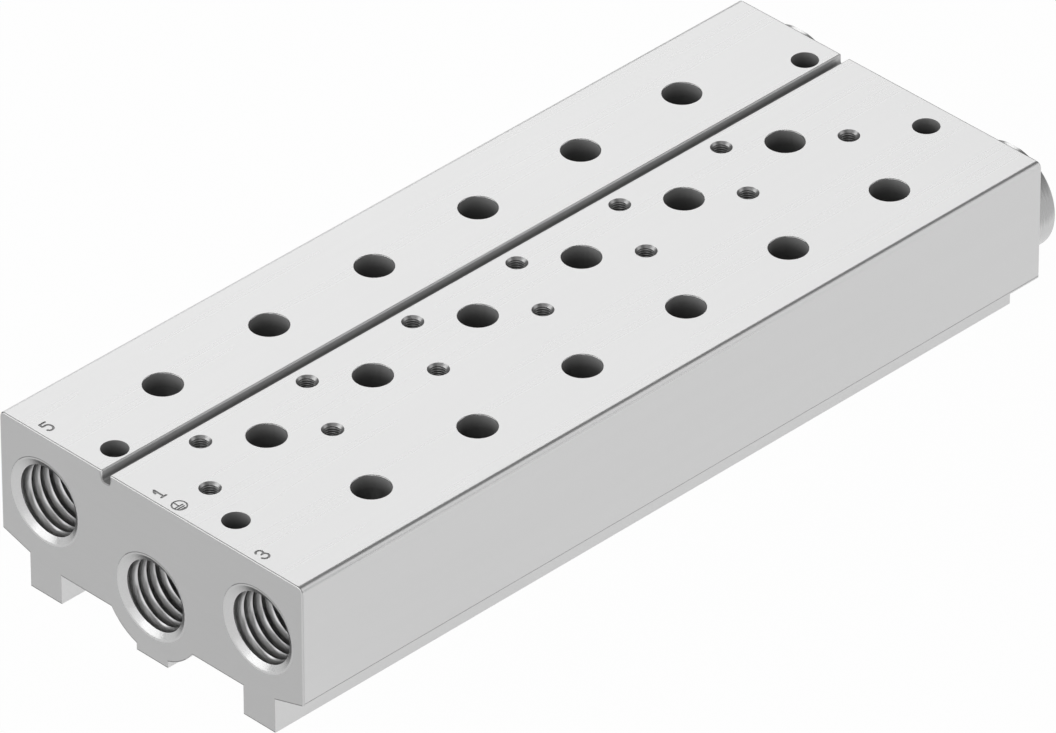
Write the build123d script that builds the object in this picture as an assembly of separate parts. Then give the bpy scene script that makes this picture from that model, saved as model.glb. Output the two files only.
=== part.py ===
from build123d import *
import math
import os

# Valve manifold rail for six pneumatic valves, with its far ports closed by blanking plugs.
# Millimetres. X runs along the rail from the open end to the plugged end, Y towards exhaust
# port 5 and Z up. The origin is on the plane of the feet, in the middle of the rail.

# Rail
rail_length = 157.0
rail_width = 64.5
rail_height = 29.0

# Valve stations
station_count = 6
station_pitch = 22.0

# Extruded section, seen from the open end
top_to_exhaust_axis = 12.0
exhaust_axis_to_side = 9.5
supply_axis_to_foot = 11.15
skirt_edge_height = 7.9
skirt_root_height = 6.1
skirt_overhang = 6.05
side_foot_width = 6.7
recess_height = 5.2
boss_radius = 10.5
centre_foot_width = 6.7
top_edge_radius = 1.1
end_edge_break = 0.25

# Drip groove along the top face
groove_offset = 9.3
groove_width = 1.62
groove_depth = 1.85
groove_corner_radius = 0.5
groove_lip_radius = 0.3

# Main channels and their threaded ports, drilled at both ends (thread G1/4, tapping size)
channel_diameter = 11.0
port_core_diameter = 11.8
port_depth = 14.0
port_rim_diameter = 14.3
port_countersink_angle = 120.0
port_rim_radius = 0.75

# Ducts from the top face down to the channels
duct_diameter = 6.1
duct_edge_break = 0.15
duct_pattern_shift = -0.55
exhaust_duct_inset = 2.36
exhaust_duct_stagger = 1.73
duct_floor_above_axis = 2.5

# Threaded holes for the valve screws and the earth screw (thread M3, tapping size)
screw_core_diameter = 2.5
screw_rim_diameter = 3.48
screw_countersink_angle = 90.0
valve_screw_depth = 8.0
valve_screw_offset_x = 8.0
valve_screw_offset_y = 5.78
earth_screw_depth = 6.5
earth_screw_to_end = 8.3
earth_screw_offset = 4.3
drill_point_angle = 118.0

# Through holes that fix the rail
fixing_hole_diameter = 4.4
fixing_hole_to_end = 5.3
fixing_hole_to_exhaust_axis = 9.85

# Blanking plugs with a hexagon socket, and the sealing rings under their flanges
flange_diameter = 17.8
flange_thickness = 2.8
flange_edge_break = 0.3
plug_thread_clearance = 0.1
plug_engagement = 9.0
plug_lead_chamfer = 1.0
plug_relief_depth = 0.6
plug_relief_length = 1.6
socket_across_flats = 6.0
socket_depth = 5.0
ring_thickness = 1.3
ring_bore_diameter = 13.4

exhaust_axis_offset = rail_width / 2 - exhaust_axis_to_side
exhaust_axis_height = rail_height - top_to_exhaust_axis
channel_axes = {
    "5": (exhaust_axis_offset, exhaust_axis_height),
    "1": (0.0, supply_axis_to_foot),
    "3": (-exhaust_axis_offset, exhaust_axis_height),
}
station_x = [(index - (station_count - 1) / 2) * station_pitch for index in range(station_count)]


def cone_height(wide_diameter, narrow_diameter, angle):
    """Axial height of a cone between two diameters, from its full included angle."""
    return (wide_diameter - narrow_diameter) / 2 / math.tan(math.radians(angle / 2))


def countersunk_drill(diameter, depth, rim_diameter, rim_angle, point_angle=None):
    """Volume that a countersunk hole removes: its mouth at Z 0, going down."""
    sink = cone_height(rim_diameter, diameter, rim_angle)
    outline = [(0, 0), (rim_diameter / 2, 0), (diameter / 2, -sink), (diameter / 2, -depth)]
    if point_angle is None:
        outline.append((0, -depth))
    else:
        outline.append((0, -depth - cone_height(diameter, 0, point_angle)))
    return revolve(Plane.XZ * make_face(Polyline(*outline, close=True)), Axis.Z)


def rail_section():
    """Half outline, mirrored, with the boss and foot round the supply channel added."""
    side_y = rail_width / 2
    foot_outer_y = side_y - skirt_overhang
    foot_inner_y = foot_outer_y - side_foot_width
    half = make_face(
        Polyline(
            (0, rail_height),
            (side_y, rail_height),
            (side_y, skirt_edge_height),
            (foot_outer_y, skirt_root_height),
            (foot_outer_y, 0),
            (foot_inner_y, 0),
            (foot_inner_y, recess_height),
            (0, recess_height),
            close=True,
        )
    )
    boss = Pos(0, supply_axis_to_foot) * Circle(boss_radius)
    foot = Rectangle(centre_foot_width, supply_axis_to_foot, align=(Align.CENTER, Align.MIN))
    envelope = Rectangle(rail_width, rail_height, align=(Align.CENTER, Align.MIN))
    section = (half + mirror(half, about=Plane.YZ) + boss + foot) & envelope
    top_corners = section.vertices().group_by(Axis.Y)[-1]
    section = fillet(top_corners, top_edge_radius)
    section -= Pos(groove_offset, rail_height) * groove_section()
    mouth = section.vertices().group_by(Axis.Y)[-1].sort_by(Axis.X)[1:-1]
    return fillet(mouth, groove_lip_radius)


def groove_section():
    """Groove with rounded bottom corners, its mouth on the X axis."""
    groove = Rectangle(groove_width, 2 * groove_depth)
    return fillet(groove.vertices().group_by(Axis.Y)[0], groove_corner_radius)


def extruded_rail():
    """The bare extrusion, cut to length, with its end edges broken above the skirt."""
    outline = Plane.YZ.offset(-rail_length / 2) * rail_section()
    rail = extrude(outline, rail_length)
    end_edges = rail.faces().filter_by(Axis.X).edges()
    broken = [edge for edge in end_edges if edge.center().Z > skirt_edge_height + end_edge_break]
    return chamfer(broken, end_edge_break)


def channel_cuts():
    """The three channels from end to end, and a port at each end of each."""
    port = countersunk_drill(
        port_core_diameter, port_depth, port_rim_diameter, port_countersink_angle
    )
    cuts = []
    for y, z in channel_axes.values():
        cuts.append(Pos(0, y, z) * Rot(0, 90, 0) * Cylinder(channel_diameter / 2, rail_length))
        cuts.append(Pos(-rail_length / 2, y, z) * Rot(0, -90, 0) * port)
        cuts.append(Pos(rail_length / 2, y, z) * Rot(0, 90, 0) * port)
    return cuts


def duct_cuts():
    """One duct into each channel at every station, the exhaust ducts staggered along X."""
    cuts = []
    for y, z in channel_axes.values():
        side = (y > 0) - (y < 0)
        duct_y = y - side * exhaust_duct_inset + duct_pattern_shift
        depth = rail_height - z - duct_floor_above_axis
        duct = countersunk_drill(duct_diameter, depth, duct_diameter + 2 * duct_edge_break, 90)
        for x in station_x:
            cuts.append(Pos(x - side * exhaust_duct_stagger, duct_y, rail_height) * duct)
    return cuts


def screw_cuts():
    """Two diagonal screw holes for each valve, and the earth screw's hole at the open end."""
    valve_screw, earth_screw = [
        countersunk_drill(
            screw_core_diameter,
            depth,
            screw_rim_diameter,
            screw_countersink_angle,
            drill_point_angle,
        )
        for depth in (valve_screw_depth, earth_screw_depth)
    ]
    earth_x = -rail_length / 2 + earth_screw_to_end
    cuts = [Pos(earth_x, -earth_screw_offset, rail_height) * earth_screw]
    for x in station_x:
        for side in (-1, 1):
            hole_x = x - side * valve_screw_offset_x
            hole_y = duct_pattern_shift + side * valve_screw_offset_y
            cuts.append(Pos(hole_x, hole_y, rail_height) * valve_screw)
    return cuts


def fixing_cuts():
    """Four through holes, which come out in the recesses between the feet."""
    hole_x = rail_length / 2 - fixing_hole_to_end
    hole_y = exhaust_axis_offset - fixing_hole_to_exhaust_axis
    hole = Cylinder(
        fixing_hole_diameter / 2, rail_height, align=(Align.CENTER, Align.CENTER, Align.MIN)
    )
    return [Pos(x, y, 0) * hole for x in (-hole_x, hole_x) for y in (-hole_y, hole_y)]


def manifold_block():
    block = extruded_rail() - (channel_cuts() + duct_cuts() + screw_cuts() + fixing_cuts())
    circles = block.edges().filter_by(GeomType.CIRCLE)
    rims = [edge for edge in circles if math.isclose(2 * edge.radius, port_rim_diameter)]
    return fillet(rims, port_rim_radius)


def blanking_plug():
    """Socket plug along +Z: the flange's seat on Z 0, the threaded shank below it."""
    shank_radius = port_core_diameter / 2 - plug_thread_clearance
    shank_end = -ring_thickness - plug_engagement
    relief_radius = shank_radius - plug_relief_depth
    profile = Polyline(
        (0, flange_thickness),
        (flange_diameter / 2 - flange_edge_break, flange_thickness),
        (flange_diameter / 2, flange_thickness - flange_edge_break),
        (flange_diameter / 2, 0),
        (relief_radius, 0),
        (relief_radius, -plug_relief_length),
        (shank_radius, -plug_relief_length - plug_relief_depth),
        (shank_radius, shank_end + plug_lead_chamfer),
        (shank_radius - plug_lead_chamfer, shank_end),
        (0, shank_end),
        close=True,
    )
    body = revolve(Plane.XZ * make_face(profile), Axis.Z)
    hexagon = RegularPolygon(socket_across_flats / 2, 6, major_radius=False)
    socket = Pos(0, 0, flange_thickness) * extrude(hexagon, -socket_depth)
    return body - socket


def sealing_ring():
    """Flat ring as wide as the flange, its lower face on Z 0."""
    ring = Circle(flange_diameter / 2) - Circle(ring_bore_diameter / 2)
    return extrude(ring, ring_thickness)


def main():
    os.makedirs("parts", exist_ok=True)
    export_step(manifold_block(), "parts/manifold_block.step")
    plug, ring = blanking_plug(), sealing_ring()
    for port, (y, z) in channel_axes.items():
        seat = Pos(rail_length / 2, y, z) * Rot(0, 90, 0)
        export_step(seat * Pos(0, 0, ring_thickness) * plug, f"parts/blanking_plug_{port}.step")
        export_step(seat * ring, f"parts/sealing_ring_{port}.step")


main()
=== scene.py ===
import math

import bmesh
import bpy
import numpy as np
from mathutils import Matrix, Vector


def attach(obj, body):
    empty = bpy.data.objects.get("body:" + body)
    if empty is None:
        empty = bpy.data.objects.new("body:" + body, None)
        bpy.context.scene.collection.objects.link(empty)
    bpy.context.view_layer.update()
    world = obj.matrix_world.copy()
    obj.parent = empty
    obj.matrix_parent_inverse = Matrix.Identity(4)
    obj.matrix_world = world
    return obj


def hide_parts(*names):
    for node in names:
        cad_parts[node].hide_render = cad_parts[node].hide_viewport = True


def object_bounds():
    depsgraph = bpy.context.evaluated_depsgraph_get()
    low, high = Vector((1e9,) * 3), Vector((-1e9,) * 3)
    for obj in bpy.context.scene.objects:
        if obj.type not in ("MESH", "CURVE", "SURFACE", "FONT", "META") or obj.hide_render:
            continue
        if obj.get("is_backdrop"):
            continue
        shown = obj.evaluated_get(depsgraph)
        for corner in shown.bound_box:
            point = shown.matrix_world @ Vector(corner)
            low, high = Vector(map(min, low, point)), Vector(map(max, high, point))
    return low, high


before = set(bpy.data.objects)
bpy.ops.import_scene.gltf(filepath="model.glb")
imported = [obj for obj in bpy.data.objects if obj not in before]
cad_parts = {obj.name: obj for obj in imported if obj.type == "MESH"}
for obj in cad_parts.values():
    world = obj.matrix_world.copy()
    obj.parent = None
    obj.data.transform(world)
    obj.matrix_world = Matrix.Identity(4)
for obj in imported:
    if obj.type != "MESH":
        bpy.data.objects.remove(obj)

# A valve manifold rail in brushed aluminium, with plugs in its far ports. Lengths are in
# millimetres up to the point where a mesh, an object or a lamp is made, which is in metres.
MM = 0.001
CAD_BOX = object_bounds()

# The rail, as the solids have it. It runs along X, with its open end at the lower X.
LENGTH, WIDTH, HEIGHT = 157.0, 64.5, 29.0
NEAR_X, FAR_X = -LENGTH / 2, LENGTH / 2
RECESS_Z = 5.2
EDGE_BREAK, TOP_EDGE_R = 0.25, 1.1

# Ports by their numbers, each with the Y and Z of its axis. A port's rim lies within PORT_R of
# the axis and within PORT_RIM_DEPTH of the end.
EXHAUST_Y = 22.75
PORTS = {"5": (EXHAUST_Y, 17.0), "1": (0.0, 11.15), "3": (-EXHAUST_Y, 17.0)}
PORT_R, PORT_RIM_DEPTH = 7.5, 1.45

# Holes in the top face, each with the radius of its rim
STATION_PITCH, STATION_COUNT = 22.0, 6
STATIONS = [STATION_PITCH * (index - (STATION_COUNT - 1) / 2) for index in range(STATION_COUNT)]
PATTERN_Y = -0.55
SCREW_X, SCREW_Y, SCREW_R = 8.0, 5.78, 1.74
EARTH_Y = -4.3
EARTH_SCREW = (NEAR_X + 8.3, EARTH_Y)
EXHAUST_DUCT_Y, EXHAUST_STAGGER, DUCT_R = EXHAUST_Y - 2.36, 1.73, 3.2
FIXING_X, FIXING_Y, FIXING_R = FAR_X - 5.3, EXHAUST_Y - 9.85, 2.2

# The drip groove
GROOVE_Y, GROOVE_HALF, GROOVE_DEPTH, LIP_R = 9.3, 0.81, 1.85, 0.3

# Fine lines, painted as dark shade lines: one cut beside the far top edge and one cut along each side,
# whose floors are toned darker, and a flat band END_SHADE_LINE wide on both ends, darkened along its
# lower edges
FAR_LINE_X, SKIRT_LINE_Z, LINE_DEPTH = FAR_X - 0.35, (8.15, 8.26), 0.04
END_SHADE_LINE = 0.15

# Threads, which the solids leave out. Counted in turns, a groove begins LEAD_TURNS before its
# start, takes FADE_IN_TURNS to reach its full depth, and fades out over FADE_OUT_TURNS at its end.
# A tap's mesh begins at the depth HIGHEST_TURN or above it.
PORT_THREAD = dict(core=5.9, root=6.28, pitch=1.79, crest=0.07, start=1.12, length=12.5, sink=0.08)
SCREW_THREAD = dict(core=1.25, root=1.42, pitch=0.418, crest=0.05, start=0.40, length=5.5, sink=0.05)
LEAD_TURNS, FADE_IN_TURNS, FADE_OUT_TURNS = 0.75, 0.25, 1.2
HIGHEST_TURN = 0.2

# Engraved marks: the X and Y of their middles, and how far from the near end all of them lie
MARK_X, FIVE_Y, ONE_Y, THREE_Y = NEAR_X + 2.05, 24.1, 0.0, -21.7
MARK_ZONE = 3.5
DIGIT_STROKE, SIGN_STROKE, STROKE_DEPTH = 0.38, 0.28, 0.12
EARTH_RING_R = 1.17

# How far a cutter reaches past a surface, and how close vertices are merged
CLEAR, MERGE = 1.0, 1e-4


# Meshes

def added(name, data):
    """A new object in the scene, for a mesh, a lamp or a camera."""
    made = bpy.data.objects.new(name, data)
    bpy.context.scene.collection.objects.link(made)
    return made


def new_object(name, vertices, faces):
    """A mesh object in millimetres, its faces turned outwards."""
    mesh = bpy.data.meshes.new(name)
    mesh.from_pydata(vertices, [], faces)
    work = bmesh.new()
    work.from_mesh(mesh)
    bmesh.ops.recalc_face_normals(work, faces=work.faces)
    work.to_mesh(mesh)
    work.free()
    return added(name, mesh)


def joined(name, parts):
    """One object from the meshes of several, each moved by its own matrix. The parts go."""
    work = bmesh.new()
    for part in parts:
        part.data.transform(part.matrix_world)
        work.from_mesh(part.data)
    mesh = bpy.data.meshes.new(name)
    work.to_mesh(mesh)
    work.free()
    for part in parts:
        bpy.data.objects.remove(part)
    return added(name, mesh)


def cut_away(body, cutter):
    """Takes the cutter's volume out of the body, and deletes the cutter."""
    step = body.modifiers.new("cut", "BOOLEAN")
    step.object, step.operation, step.solver = cutter, "DIFFERENCE", "MANIFOLD"
    ready = bpy.context.evaluated_depsgraph_get()
    mesh = bpy.data.meshes.new_from_object(body.evaluated_get(ready))
    body.modifiers.clear()
    body.data = mesh
    bpy.data.objects.remove(cutter)


def box(low, high):
    """A box between two corners."""
    xs, ys, zs = zip(low, high)
    vertices = [(x, y, z) for x in xs for y in ys for z in zs]
    faces = [(0, 1, 3, 2), (4, 6, 7, 5), (0, 4, 5, 1), (2, 3, 7, 6), (0, 2, 6, 4), (1, 5, 7, 3)]
    return new_object("box", vertices, faces)


def thread_tap(name, core, root, pitch, crest, start, length, sink, around=96, steps=12):
    """A closed tap for a right-hand thread with round grooves. Local Z points out of the hole,
    whose mouth is at Z 0. Where the local X axis meets the wall, a groove starts at depth start.
    The tap passes under the crests by sink, and its grooves fade out before depth length."""
    half, deep = (pitch - crest) / 2, root - core
    curve = (half ** 2 + deep ** 2) / (2 * deep)
    inner = core - sink
    profile = [(0.0, inner)]
    for k in range(1, steps - 1):
        across = half * (2 * (k - 1) / (steps - 3) - 1)
        profile.append((half + across, root - curve + math.sqrt(curve ** 2 - across ** 2)))
    profile.append((2 * half, inner))
    first = start - pitch * math.ceil((start - HIGHEST_TURN) / pitch)
    turns = math.ceil((length - first) / pitch) + 1
    rows = turns * steps

    def point(i, j):
        turn, k = divmod(j, steps)
        offset, radius = profile[k]
        angle = 2 * math.pi * i / around
        depth = first + turn * pitch + offset - pitch * i / around
        fade_in = ((depth - offset - start) / pitch + LEAD_TURNS) / FADE_IN_TURNS
        fade_out = (length - depth) / (FADE_OUT_TURNS * pitch)
        radius = inner + (radius - inner) * min(1.0, max(0.0, fade_out), max(0.0, fade_in))
        return radius * math.cos(angle), radius * math.sin(angle), -depth

    vertices = [point(i, j) for j in range(rows + 1) for i in range(around)]
    seam = len(vertices)
    vertices += [point(around, j) for j in range(steps)]

    def index(i, j):
        if i < around:
            return j * around + i
        return seam + j if j < steps else (j - steps) * around

    faces = []
    for j in range(rows):
        for i in range(around):
            faces.append((index(i, j), index(i + 1, j), index(i + 1, j + 1), index(i, j + 1)))
    mouth = [index(i, 0) for i in range(around)] + [seam + j for j in range(steps)]
    bottom = [index(i, rows) for i in range(around)]
    bottom += [index(0, j) for j in range(rows - steps, rows)]
    for loop, height in ((mouth, pitch), (bottom, -length - pitch)):
        tip = len(vertices)
        vertices.append((0.0, 0.0, height))
        faces += [(loop[n], loop[(n + 1) % len(loop)], tip) for n in range(len(loop))]
    return new_object(name, vertices, faces)


def hole_frame(origin, out, first):
    """Matrix of a hole: its mouth at origin, local Z along out and local X along first."""
    z_axis, x_axis = Vector(out), Vector(first)
    turn = Matrix((x_axis, z_axis.cross(x_axis), z_axis)).transposed()
    return Matrix.Translation(origin) @ turn.to_4x4()


def round_end(centre, side, parts=8):
    """Points of a half circle from centre + side, turning clockwise."""
    turns = [Matrix.Rotation(-math.pi * n / parts, 2) for n in range(1, parts)]
    return [centre + turn @ side for turn in turns]


def stroke_cutter(points, width):
    """A prism along a line of points on the top face, with round ends, to engrave one stroke."""
    line = [Vector(p) for p in points]
    sides = []
    for n in range(len(line)):
        before, after = line[max(n - 1, 0)], line[min(n + 1, len(line) - 1)]
        along = (after - before).normalized()
        sides.append(Vector((-along.y, along.x)) * (width / 2))
    outline = [p + side for p, side in zip(line, sides)]
    outline += round_end(line[-1], sides[-1])
    outline += [p - side for p, side in zip(reversed(line), reversed(sides))]
    outline += round_end(line[0], -sides[0])
    count = len(outline)
    low, high = HEIGHT - STROKE_DEPTH, HEIGHT + STROKE_DEPTH
    vertices = [(p.x, p.y, z) for z in (low, high) for p in outline]
    faces = [tuple(reversed(range(count))), tuple(range(count, 2 * count))]
    faces += [(n, (n + 1) % count, count + (n + 1) % count, count + n) for n in range(count)]
    return new_object("stroke", vertices, faces)


def arc(cx, cy, rx, ry, start, end, parts=20):
    """Points of an elliptic arc between two angles in degrees."""
    angles = [math.radians(start + (end - start) * n / parts) for n in range(parts + 1)]
    return [(cx + rx * math.cos(a), cy + ry * math.sin(a)) for a in angles]


# Normals

CREASE, FINE_CREASE, FLAT_BEND = 50.0, 30.0, 0.4     # degrees between two faces
LARGE_AREA, LARGE_WEIGHT = 4e-6, 50.0                # square metres, and a weight like an angle


def flat_areas(work, bends):
    """For each face, the number of the flat area that it lies in, and each flat area's size."""
    group = list(range(len(work.faces)))

    def leader(n):
        while group[n] != n:
            group[n] = group[group[n]]
            n = group[n]
        return n

    for edge in work.edges:
        if bends[edge.index] < math.radians(FLAT_BEND):
            first, second = (leader(face.index) for face in edge.link_faces)
            group[first] = second
    leads = [leader(face.index) for face in work.faces]
    sizes = {}
    for face in work.faces:
        lead = leads[face.index]
        sizes[lead] = sizes.get(lead, 0.0) + face.calc_area()
    return leads, sizes


def smooth_fans(vert, sharp_edges):
    """The vertex's face corners, in lists that no sharp edge parts."""
    left = list(vert.link_loops)
    while left:
        fan, queue = [], [left.pop()]
        while queue:
            loop = queue.pop()
            fan.append(loop)
            for edge in (loop.edge, loop.link_loop_prev.edge):
                if edge.index in sharp_edges:
                    continue
                for near in edge.link_loops:
                    for other in (near, near.link_loop_next):
                        if other in left:
                            left.remove(other)
                            queue.append(other)
        yield fan


def fan_normal(fan, leads, sizes):
    """A normal for all corners of a fan. A large flat area counts once, and for much."""
    total, used = Vector(), set()
    for loop in fan:
        lead = leads[loop.face.index]
        weight = loop.calc_angle()
        if sizes[lead] > LARGE_AREA:
            weight = 0.0 if lead in used else LARGE_WEIGHT
            used.add(lead)
        total += loop.face.normal * weight * sizes[lead]
    return total.normalized() if total.length > 0 else fan[0].face.normal


def set_normals(piece, fine_slots):
    """Smooth normals that follow the larger faces, so small edge breaks look rounded. Faces that
    meet at more than CREASE stay sharp. Where one of them is in a fine material slot, FINE_CREASE
    is enough."""
    mesh = piece.data
    work = bmesh.new()
    work.from_mesh(mesh)
    for parts in (work.faces, work.edges, work.verts):
        parts.ensure_lookup_table()
    bends = [edge.calc_face_angle(math.pi) for edge in work.edges]
    sharp_edges = set()
    for edge in work.edges:
        fine = any(face.material_index in fine_slots for face in edge.link_faces)
        if bends[edge.index] > math.radians(FINE_CREASE if fine else CREASE):
            sharp_edges.add(edge.index)
    leads, sizes = flat_areas(work, bends)
    numbers = {}
    for face in work.faces:
        for loop in face.loops:
            numbers[loop] = len(numbers)
    normals = [None] * len(numbers)
    for vert in work.verts:
        for fan in smooth_fans(vert, sharp_edges):
            normal = fan_normal(fan, leads, sizes)
            for loop in fan:
                normals[numbers[loop]] = normal
    work.free()
    for polygon in mesh.polygons:
        polygon.use_smooth = True
    mesh.normals_split_custom_set(normals)


# The rail

def rail_body():
    """A clean copy of the rail's solid, in millimetres while threads and marks are cut."""
    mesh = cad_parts["manifold_block"].data.copy()
    mesh.name = "rail"
    mesh.transform(Matrix.Scale(1 / MM, 4))
    work = bmesh.new()
    work.from_mesh(mesh)
    bmesh.ops.remove_doubles(work, verts=work.verts, dist=MERGE)
    work.to_mesh(mesh)
    work.free()
    mesh.materials.clear()
    return added("rail", mesh)


def mark_strokes():
    """Port numbers and the earth sign, each as a width, a middle in Y and lines of points, which
    are measured from the middle. The marks stand upright along Y."""
    five = [
        [(-0.45, 1.08), (0.63, 1.08)],
        [(-0.47, 1.08), (-0.53, 0.42)],
        [(-0.53, 0.42)] + arc(0.07, -0.36, 0.66, 0.76, 112, -152),
    ]
    one = [
        [(-0.45, 0.35), (-0.37, 0.74), (0.0, 1.08)],
        [(0.0, 1.12), (0.0, -1.0)],
        [(-0.5, -1.0), (0.47, -1.0)],
    ]
    three = [
        arc(-0.01, 0.5, 0.56, 0.54, 160, -78),
        [(-0.11, -0.06), (0.19, 0.0)],
        arc(0.03, -0.62, 0.68, 0.62, 84, -170),
    ]
    earth = [
        arc(0.0, 0.0, EARTH_RING_R, EARTH_RING_R, 0, 182, 28),
        arc(0.0, 0.0, EARTH_RING_R, EARTH_RING_R, 180, 362, 28),
        [(-0.17, 0.95), (-0.17, -0.1)],
        [(-1.05, -0.12), (0.55, -0.12)],
        [(-0.87, -0.56), (0.45, -0.56)],
        [(-0.6, -0.97), (0.25, -0.97)],
    ]
    return ((DIGIT_STROKE, FIVE_Y, five), (DIGIT_STROKE, ONE_Y, one),
            (DIGIT_STROKE, THREE_Y, three), (SIGN_STROKE, EARTH_Y, earth))


def engrave(body):
    """Cuts the marks into the top face."""
    for width, middle, lines in mark_strokes():
        for points in lines:
            placed = [(MARK_X + x, middle + y) for x, y in points]
            cut_away(body, stroke_cutter(placed, width))


def score_lines(body):
    """Fine lines where the photograph shows one: by the far top edge and by the skirts' edges."""
    reach = WIDTH / 2 - TOP_EDGE_R
    cut_away(body, box((FAR_LINE_X, -reach, HEIGHT - LINE_DEPTH), (FAR_X, reach, HEIGHT + CLEAR)))
    low, high = SKIRT_LINE_Z
    for side in (-1, 1):
        inner, outer = sorted((side * (WIDTH / 2 - LINE_DEPTH), side * (WIDTH / 2 + CLEAR)))
        cut_away(body, box((NEAR_X - CLEAR, inner, low), (FAR_X + CLEAR, outer, high)))


def screw_holes():
    """Centres of the small threaded holes in the top face."""
    holes = [EARTH_SCREW]
    for x in STATIONS:
        holes += [(x - side * SCREW_X, PATTERN_Y + side * SCREW_Y) for side in (-1, 1)]
    return holes


def bored_holes():
    """Centres and radii of the fixing holes and the ducts in the top face."""
    holes = []
    for side in (-1, 1):
        holes += [(side * FIXING_X, up * FIXING_Y, FIXING_R) for up in (-1, 1)]
    for x in STATIONS:
        for side in (-1, 0, 1):
            holes.append((x - side * EXHAUST_STAGGER, PATTERN_Y + side * EXHAUST_DUCT_Y, DUCT_R))
    return holes


def cut_threads(body):
    """Cuts the threads of the near ports and of the screw holes."""
    taps = []
    for y, z in PORTS.values():
        tap = thread_tap("tap", **PORT_THREAD)
        tap.matrix_world = hole_frame((NEAR_X, y, z), (-1, 0, 0), (0, 1, 0))
        taps.append(tap)
    for x, y in screw_holes():
        tap = thread_tap("tap", around=36, steps=7, **SCREW_THREAD)
        tap.matrix_world = hole_frame((x, y, HEIGHT), (0, 0, 1), (1, 0, 0))
        taps.append(tap)
    cut_away(body, joined("taps", taps))


# Materials

# Grain and clouds, in features per millimetre along X, Y and Z
LENGTHWISE, ROUND_X, ROUND_Z = (0.01, 0.35, 0.35), (2.5, 0.1, 0.1), (0.1, 0.1, 2.5)
CLOUDS = (0.03, 0.05, 0.05)

# How much of a metal's marks comes from its broad and its fine grain, how much of its tone comes from
# clouds, and, where its tone goes with height as painted shade, how much is left to marks and clouds
BROAD_SHARE, FINE_SHARE, CLOUD_SHARE, GRAIN_SHARE = 0.6, 0.4, 0.3, 0.15

# Painted shade and highlights on the turned plugs and rings: tones from low to high, each at its
# height in millimetres
PLUG_SHADE_SPAN = (8.0, 26.0)
PLUG_SHADE_TONES = ((10.4, 0.22), (12.0, 0.66), (16.0, 0.66), (17.6, 0.50), (20.5, 0.46), (23.5, 0.20),
              (24.2, 0.20), (25.0, 0.80))


def grain(tree, scale, octaves):
    """Noise in object space. The scale is features per millimetre along X, Y and Z."""
    place = tree.nodes.new("ShaderNodeTexCoord")
    stretch = tree.nodes.new("ShaderNodeMapping")
    stretch.inputs["Scale"].default_value = [value / MM for value in scale]
    noise = tree.nodes.new("ShaderNodeTexNoise")
    noise.inputs["Scale"].default_value = 1.0
    noise.inputs["Detail"].default_value = octaves
    noise.inputs["Roughness"].default_value = 0.6
    tree.links.new(place.outputs["Object"], stretch.inputs["Vector"])
    tree.links.new(stretch.outputs["Vector"], noise.inputs["Vector"])
    return noise.outputs["Fac"]


def ranged(tree, source, low, high, start=0.3, end=0.7):
    """The source's stretch from start to end, taken to run from low to high."""
    node = tree.nodes.new("ShaderNodeMapRange")
    for socket, value in zip(("From Min", "From Max", "To Min", "To Max"), (start, end, low, high)):
        node.inputs[socket].default_value = value
    tree.links.new(source, node.inputs["Value"])
    return node.outputs["Result"]


def calculated(tree, operation, first, second):
    """A Math node's result for two values, of which the second may be a plain number."""
    node = tree.nodes.new("ShaderNodeMath")
    node.operation = operation
    tree.links.new(first, node.inputs[0])
    if isinstance(second, float):
        node.inputs[1].default_value = second
    else:
        tree.links.new(second, node.inputs[1])
    return node.outputs["Value"]


def rising(tree, low, high, top):
    """Runs from 0 at one height of the object to top at another, in millimetres."""
    place = tree.nodes.new("ShaderNodeTexCoord")
    split = tree.nodes.new("ShaderNodeSeparateXYZ")
    tree.links.new(place.outputs["Object"], split.inputs["Vector"])
    return ranged(tree, split.outputs["Z"], 0.0, top, low * MM, high * MM)


def tinted(tree, shader, source, stops):
    """Base colour in greys, by a source from 0 to 1. A stop is a place on the way and a tone."""
    ramp = tree.nodes.new("ShaderNodeValToRGB")
    elements = ramp.color_ramp.elements
    elements.remove(elements[1])
    elements[0].position = stops[0][0]
    for place, _ in stops[1:]:
        elements.new(place)
    for element, (_, tone) in zip(elements, stops):
        element.color = (tone, tone, tone, 1.0)
    tree.links.new(source, ramp.inputs["Fac"])
    tree.links.new(ramp.outputs["Color"], shader.inputs["Base Color"])


def bumped(tree, shader, source, height):
    """Bump by a source, its height in millimetres."""
    node = tree.nodes.new("ShaderNodeBump")
    node.inputs["Distance"].default_value = height * MM
    tree.links.new(source, node.inputs["Height"])
    tree.links.new(node.outputs["Normal"], shader.inputs["Normal"])


def about(tone, spread):
    """Stops from a little darker than a tone to a little lighter."""
    return (0.0, tone - spread), (1.0, tone + spread)


def by_height(span, tones):
    """Stops for tones at heights, for a metal whose depth is the span."""
    low, high = span
    return [(GRAIN_SHARE / 2 + (1 - GRAIN_SHARE) * (height - low) / (high - low), tone)
            for height, tone in tones]


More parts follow.
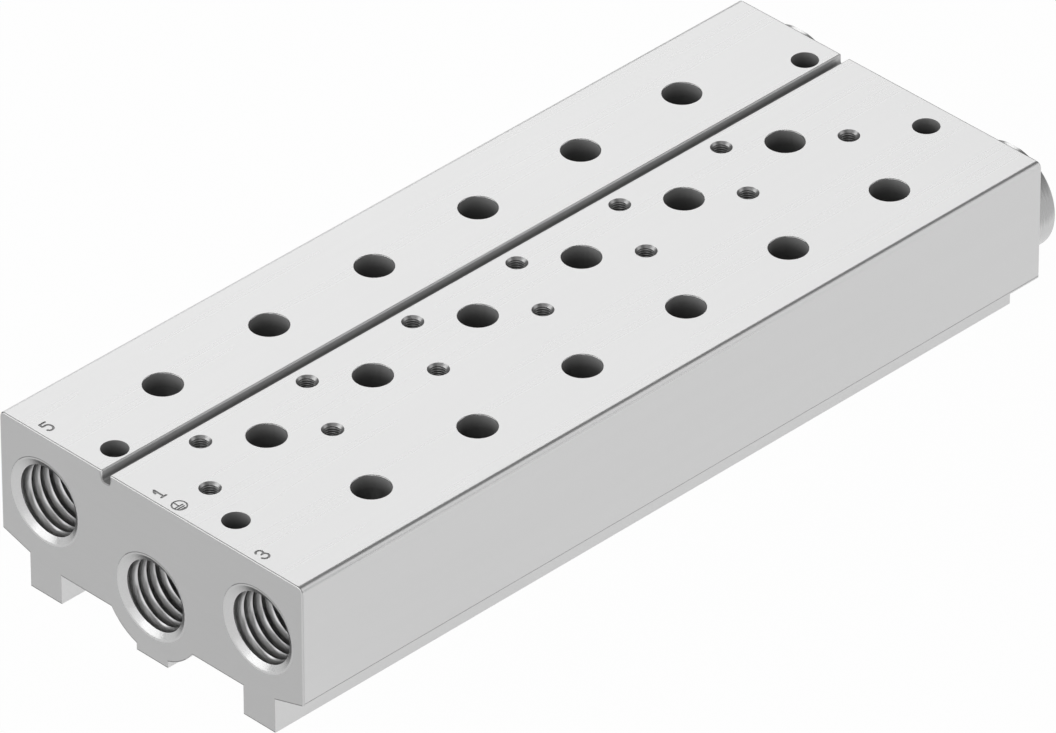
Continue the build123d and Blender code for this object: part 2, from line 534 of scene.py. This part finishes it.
def worked_metal(name, stops, metallic, rough, scale, height, fine=3.0, edge=1.0, depth=None,
                 octaves=4.0):
    """Metal with tool marks: grain in one direction, and one over it that is finer by a factor.
    Edge is how bright its reflections stay at a grazing angle. Depth is two heights, between which the
    stops are passed, so that the tone goes with height as painted shade."""
    made = bpy.data.materials.new(name)
    made.use_nodes = True
    tree = made.node_tree
    shader = tree.nodes["Principled BSDF"]
    shader.inputs["Metallic"].default_value = metallic
    shader.inputs["Specular Tint"].default_value = (edge, edge, edge, 1.0)
    broad = ranged(tree, grain(tree, scale, octaves), 0.0, BROAD_SHARE)
    narrow = ranged(tree, grain(tree, [value * fine for value in scale], octaves / 2), 0.0, FINE_SHARE)
    marks = calculated(tree, "ADD", broad, narrow)
    clouds = ranged(tree, grain(tree, CLOUDS, 2.0), 0.0, CLOUD_SHARE)
    source = calculated(tree, "ADD", ranged(tree, marks, 0.0, 1 - CLOUD_SHARE, 0.0, 1.0), clouds)
    # Painted shade: the tone goes with height between the two depths
    if depth:
        grained = ranged(tree, source, 0.0, GRAIN_SHARE, 0.0, 1.0)
        source = calculated(tree, "ADD", grained, rising(tree, *depth, 1 - GRAIN_SHARE))
    tinted(tree, shader, source, stops)
    tree.links.new(ranged(tree, marks, rough[0], rough[1], 0.0, 1.0), shader.inputs["Roughness"])
    bumped(tree, shader, marks, height)
    return made


# Finishes of the rail's faces. Some also carry painted shade, as tones by height or as dark lines.
RAIL_FINISH_AND_SHADE = dict(
    drawn=worked_metal("rail_drawn", about(0.75, 0.012), 0.8, (0.270, 0.282), LENGTHWISE, 0.000002,
                       fine=1.7, octaves=0.5),
    side=worked_metal("rail_side", about(0.75, 0.006), 0.8, (0.274, 0.278), LENGTHWISE, 0.000001,
                      fine=1.7, octaves=0.5),
    sawn=worked_metal("rail_end", about(0.515, 0.012), 0.7, (0.34, 0.40), (1.0, 0.12, 1.4), 0.0003),
    eased=worked_metal("rail_rim", about(0.63, 0.02), 0.9, (0.22, 0.28), ROUND_X, 0.0001, edge=0.1),
    threaded=worked_metal("rail_thread", about(0.66, 0.02), 1.0, (0.28, 0.34), ROUND_X, 0.0004,
                          edge=0.2),
    # Painted shade: the drip groove darker towards its floor, by height
    grooved_shaded=worked_metal("rail_groove_shaded", about(0.54, 0.22), 0.45, (0.35, 0.42), (0.02, 0.8, 0.8),
                         0.0002, depth=(27.7, 28.4)),
    # Painted shade: the bores darker with depth, lighter towards the rim
    drilled_shaded=worked_metal("rail_bore_shaded", about(0.36, 0.17), 0.45, (0.42, 0.48), ROUND_Z, 0.0005,
                         depth=(26.5, 29.2)),
    # Painted light: the screw holes darker at the mouth and lighter deeper in, by height
    tapped_shaded=worked_metal("rail_screw_shaded", about(0.50, 0.05), 0.9, (0.30, 0.36), ROUND_Z, 0.0005,
                        edge=0.2, depth=(28.6, 26.6)),
    corner=worked_metal("rail_corner", about(0.66, 0.01), 0.8, (0.34, 0.40), (0.1, 1.0, 0.1), 0.0002),
    # Painted shade: the dark tone of the lines along the ends' lower edges
    shade_line=worked_metal("rail_shade_line", about(0.22, 0.02), 0.6, (0.40, 0.50), (1.0, 1.0, 1.0), 0.0002),
    # The engraved marks' own darker tone, also used as painted shade on the far end's edge breaks, the
    # far cut's floor and the ends' sloping edges
    mark_and_shade=worked_metal("rail_mark_and_shade", about(0.42, 0.03), 0.4, (0.45, 0.55), (2.0, 2.0, 2.0), 0.0005),
)


# Finishes and painted shade

# Room in millimetres between a face's middle and the outside, a hole's rim, and a line's floor
TOUCH, CLOSE, SAME = 0.01, 0.03, 0.001

# How far a face's normal points along an axis: of a flat face, a side, a corner's break, a port's
# rim, an edge break, and the 45 degree break of a bored hole, which is within SUNK_DEPTH
FLAT, SIDEWAYS, CORNER, RIM = 0.9999, 0.99, 0.5, -0.74
BREAK_LOW, BREAK_HIGH = 0.4, 0.8
SUNK, SUNK_ROOM, SUNK_DEPTH = 0.707, 0.05, 0.5

# How far down an edge of the ends faces, when it is level and when it slopes: level edges get a dark
# painted shade line, sloping ones a lighter one
LEVEL_EDGE, SLOPING_EDGE = -0.7, -0.3


def face_values(mesh, name):
    """A vector of each face of a mesh, as three columns."""
    values = np.empty(3 * len(mesh.polygons))
    mesh.polygons.foreach_get(name, values)
    return values.reshape(-1, 3)


def finish_and_shade_rail(body):
    """Drawn outer faces, sawn ends, turned rims and drilled bores, with painted shade: tones that go
    with height in the groove and the holes, and dark lines by the far end and along the skirts. A
    later rule overrules.
    """
    mesh = body.data
    mesh.materials.clear()
    for material in RAIL_FINISH_AND_SHADE.values():
        mesh.materials.append(material)
    order = list(RAIL_FINISH_AND_SHADE)
    chosen = np.zeros(len(mesh.polygons), dtype=np.int32)

    def give(finish, faces):
        chosen[faces] = order.index(finish)

    x, y, z = (face_values(mesh, "center") / MM).T
    facing_x, facing_y, facing_z = face_values(mesh, "normal").T
    outside = (z > HEIGHT - TOUCH) | (abs(y) > WIDTH / 2 - TOUCH)
    at_groove = abs(y - GROOVE_Y) < GROOVE_HALF + LIP_R

    give("side", abs(facing_y) > SIDEWAYS)
    for axis_y, axis_z in PORTS.values():
        port = (np.hypot(y - axis_y, z - axis_z) < PORT_R) & ~outside
        give("threaded", port)
        give("eased", port & (facing_x < RIM) & (x < NEAR_X + PORT_RIM_DEPTH))
    for hole_x, hole_y in screw_holes():
        hole = np.hypot(x - hole_x, y - hole_y) < SCREW_R + CLOSE
        give("tapped_shaded", hole & ~outside & (z > RECESS_Z))
    for hole_x, hole_y, radius in bored_holes():
        hole = (np.hypot(x - hole_x, y - hole_y) < radius + CLOSE) & ~outside & (z > RECESS_Z)
        give("drilled_shaded", hole)
        give("eased", hole & (z > HEIGHT - SUNK_DEPTH) & (abs(facing_z - SUNK) < SUNK_ROOM))
    give("grooved_shaded", at_groove & (z > HEIGHT - GROOVE_DEPTH - TOUCH) & ~outside)
    engraved = (x < NEAR_X + MARK_ZONE) & (z > HEIGHT - STROKE_DEPTH - TOUCH) & ~outside
    give("mark_and_shade", engraved & ~at_groove)

    slanted = (abs(facing_x) > BREAK_LOW) & (abs(facing_x) < BREAK_HIGH)
    broken = slanted & (abs(x) > FAR_X - EDGE_BREAK - TOUCH)
    give("eased", broken & (x < 0))
    give("corner", broken & (abs(facing_y) > CORNER))
    # Painted shade: the far end's edge breaks toned dark
    give("mark_and_shade", broken & (x > 0))
    give("grooved_shaded", broken & at_groove)

    # Painted shade: the floor of the cut by the far top edge toned dark
    far_shade_line = (x > FAR_LINE_X) & (abs(z - HEIGHT + LINE_DEPTH) < SAME)
    give("mark_and_shade", far_shade_line & (abs(facing_z) > FLAT))
    # Painted shade: the floors of the cuts along the sides take the darker sawn tone, as dark lines
    give("sawn", (abs(abs(y) - WIDTH / 2 + LINE_DEPTH) < SAME) & (z < SKIRT_LINE_Z[1]))
    give("sawn", (abs(x) > FAR_X - TOUCH) & (abs(facing_x) > FLAT))
    mesh.polygons.foreach_set("material_index", chosen)
    mesh.update()


def shade_lower_edges(body):
    """A painted shade line on both ends: a fine dark band along every edge with nothing below it, the
    section's lower edges and the upper rims of the ports, and a lighter one where the edge slopes."""
    order = list(RAIL_FINISH_AND_SHADE)
    work = bmesh.new()
    work.from_mesh(body.data)
    flat = [face for face in work.faces
            if abs(face.normal.x) > FLAT
            and abs(abs(face.calc_center_median().x) - FAR_X * MM) < SAME * MM]
    inner = set(flat)
    band = bmesh.ops.inset_region(work, faces=flat, thickness=END_SHADE_LINE * MM, use_even_offset=True,
                                  use_boundary=True)["faces"]
    for face in band:
        shared = [edge for edge in face.edges if any(other in inner for other in edge.link_faces)]
        if not shared:
            continue
        first, second = (vert.co for vert in shared[0].verts)
        outwards = face.normal.cross(second - first).normalized()
        if outwards.dot(face.calc_center_median() - first) < 0:
            outwards.negate()
        if outwards.z < SLOPING_EDGE:
            face.material_index = order.index("shade_line" if outwards.z < LEVEL_EDGE else "mark_and_shade")
    work.to_mesh(body.data)
    work.free()


def finish_plugs():
    """Turned plugs and their rings: the solids stay, and get these materials, with painted shade and
    painted highlights in bands by height.
    """
    stops = by_height(PLUG_SHADE_SPAN, PLUG_SHADE_TONES)
    grained = dict(scale=(1.2, 0.05, 0.05), height=0.00005, depth=PLUG_SHADE_SPAN)
    plug = worked_metal("plug_turned_shaded", stops, 0.9, (0.20, 0.26), **grained)
    ring = worked_metal("ring_turned_shaded", stops, 0.9, (0.22, 0.28), **grained)
    for port in PORTS:
        for name, material in (("blanking_plug_" + port, plug), ("sealing_ring_" + port, ring)):
            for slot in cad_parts[name].material_slots:
                slot.material = material


# Studio

BACKGROUND = 0.98      # share of the floor that is plain white to the eye
METAL_SEES = 0.80      # the same share in reflections
FLOOR_TONE, FLOOR_REACH = 0.86, 12.0
ROOM_TONE = 0.15

# Lamps, all at the same distance in metres. Each has a bearing and an elevation in degrees, a
# width and a height in metres, and a radiance.
LAMP_DISTANCE = 1.3
LAMPS = dict(
    back_right=(53, 34, 0.85, 0.66, 1.2),
    back_low=(62, 8, 0.45, 0.4, 0.75),
    right=(-43, 25, 0.85, 1.25, 0.8),
    left=(142, 24, 1.1, 1.0, 1.6),
    front_left=(-165, 23, 1.6, 1.1, 1.05),
    front_top=(-135, 72, 0.5, 0.5, 1.0),
)


def seen_directly(tree, camera_share, mirror_share):
    """A factor for camera rays, and a smaller one for reflected and refracted rays."""
    path = tree.nodes.new("ShaderNodeLightPath")
    mirrored = calculated(tree, "MAXIMUM", path.outputs["Is Glossy Ray"],
                          path.outputs["Is Transmission Ray"])
    to_camera = calculated(tree, "MULTIPLY", path.outputs["Is Camera Ray"], camera_share)
    to_mirror = calculated(tree, "MULTIPLY", mirrored, mirror_share)
    return calculated(tree, "MAXIMUM", to_camera, to_mirror)


def mixed(tree, factor, first, second):
    """A Mix Shader's result."""
    node = tree.nodes.new("ShaderNodeMixShader")
    tree.links.new(factor, node.inputs["Fac"])
    tree.links.new(first, node.inputs[1])
    tree.links.new(second, node.inputs[2])
    return node.outputs["Shader"]


def lay_floor():
    """A wide pale floor on the plane of the feet, white to the camera, with a faint shadow."""
    mesh = bpy.data.meshes.new("floor")
    corners = [(-1, -1), (1, -1), (1, 1), (-1, 1)]
    mesh.from_pydata([(x * FLOOR_REACH, y * FLOOR_REACH, 0) for x, y in corners], [], [(0, 1, 2, 3)])
    floor = added("floor", mesh)
    made = bpy.data.materials.new("floor_white")
    made.use_nodes = True
    tree = made.node_tree
    tree.nodes.remove(tree.nodes["Principled BSDF"])
    matt = tree.nodes.new("ShaderNodeBsdfDiffuse")
    matt.inputs["Color"].default_value = (FLOOR_TONE, FLOOR_TONE, FLOOR_TONE, 1.0)
    white = tree.nodes.new("ShaderNodeEmission")
    white.inputs["Strength"].default_value = 1.0
    surface = mixed(tree, seen_directly(tree, BACKGROUND, METAL_SEES), matt.outputs["BSDF"],
                    white.outputs["Emission"])
    tree.links.new(surface, tree.nodes["Material Output"].inputs["Surface"])
    mesh.materials.append(made)
    floor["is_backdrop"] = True


def fill_world():
    """An even grey room, white where the camera looks past the floor."""
    world = bpy.data.worlds.new("studio")
    bpy.context.scene.world = world
    world.use_nodes = True
    tree = world.node_tree
    room = tree.nodes["Background"]
    room.inputs["Color"].default_value = (ROOM_TONE, ROOM_TONE, ROOM_TONE, 1.0)
    white = tree.nodes.new("ShaderNodeBackground")
    white.inputs["Color"].default_value = (1.0, 1.0, 1.0, 1.0)
    path = tree.nodes.new("ShaderNodeLightPath")
    surface = mixed(tree, path.outputs["Is Camera Ray"], room.outputs["Background"],
                    white.outputs["Background"])
    tree.links.new(surface, tree.nodes["World Output"].inputs["Surface"])


def hang_softbox(name, bearing, elevation, width, height, radiance):
    """A soft lamp that faces the rail. Bearing runs from +X towards +Y, in degrees."""
    turn, lift = math.radians(bearing), math.radians(elevation)
    out = Vector((
        math.cos(turn) * math.cos(lift),
        math.sin(turn) * math.cos(lift),
        math.sin(lift),
    ))
    lamp = bpy.data.lights.new(name, "AREA")
    lamp.shape, lamp.size, lamp.size_y = "RECTANGLE", width, height
    lamp.energy = radiance * math.pi * width * height
    panel = added(name, lamp)
    panel.location = out * LAMP_DISTANCE + Vector((0, 0, HEIGHT * MM))
    panel.rotation_euler = out.to_track_quat("Z", "Y").to_euler()
    panel.visible_camera = False


# Camera

# The photograph's view: its angles in degrees, the point on the top face that it looks at, and
# how far away it is. The clip range is in metres.
AZIMUTH, ELEVATION, ROLL = -44.886, 34.888, -0.093
TARGET, DISTANCE = (-15.102, -15.285, HEIGHT), 2056.336
SENSOR_WIDTH, FOCAL_LENGTH = 36.0, 470.69
CLIP_START, CLIP_END = 0.1, 40.0


def place_camera():
    """A long lens, 35 degrees above the horizon."""
    azimuth, elevation, roll = (math.radians(a) for a in (AZIMUTH, ELEVATION, ROLL))
    back = Vector((
        math.sin(azimuth) * math.cos(elevation),
        -math.cos(azimuth) * math.cos(elevation),
        math.sin(elevation),
    ))
    right = Vector((math.cos(azimuth), math.sin(azimuth), 0.0))
    up = back.cross(right)
    lens = bpy.data.cameras.new("camera")
    lens.sensor_width, lens.lens = SENSOR_WIDTH, FOCAL_LENGTH
    lens.clip_start, lens.clip_end = CLIP_START, CLIP_END
    camera = added("camera", lens)
    c, s = math.cos(roll), math.sin(roll)
    turn = Matrix((c * right + s * up, c * up - s * right, back)).transposed()
    place = (Vector(TARGET) + back * DISTANCE) * MM
    camera.matrix_world = Matrix.Translation(place) @ turn.to_4x4()
    bpy.context.scene.camera = camera


place_camera()
lay_floor()
fill_world()
for lamp_name, setting in LAMPS.items():
    hang_softbox(lamp_name, *setting)

rail = rail_body()
engrave(rail)
score_lines(rail)
cut_threads(rail)
rail.data.transform(Matrix.Scale(MM, 4))
finish_and_shade_rail(rail)
shade_lower_edges(rail)
set_normals(rail, [list(RAIL_FINISH_AND_SHADE).index(name) for name in ("threaded", "tapped_shaded")])
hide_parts("manifold_block")
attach(rail, "root")
finish_plugs()

bpy.context.scene.view_settings.view_transform = "Standard"
lowest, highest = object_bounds()
({
    "cad": [[float(v) for v in corner] for corner in CAD_BOX],
    "visual": [[float(v) for v in corner] for corner in (lowest, highest)],
})
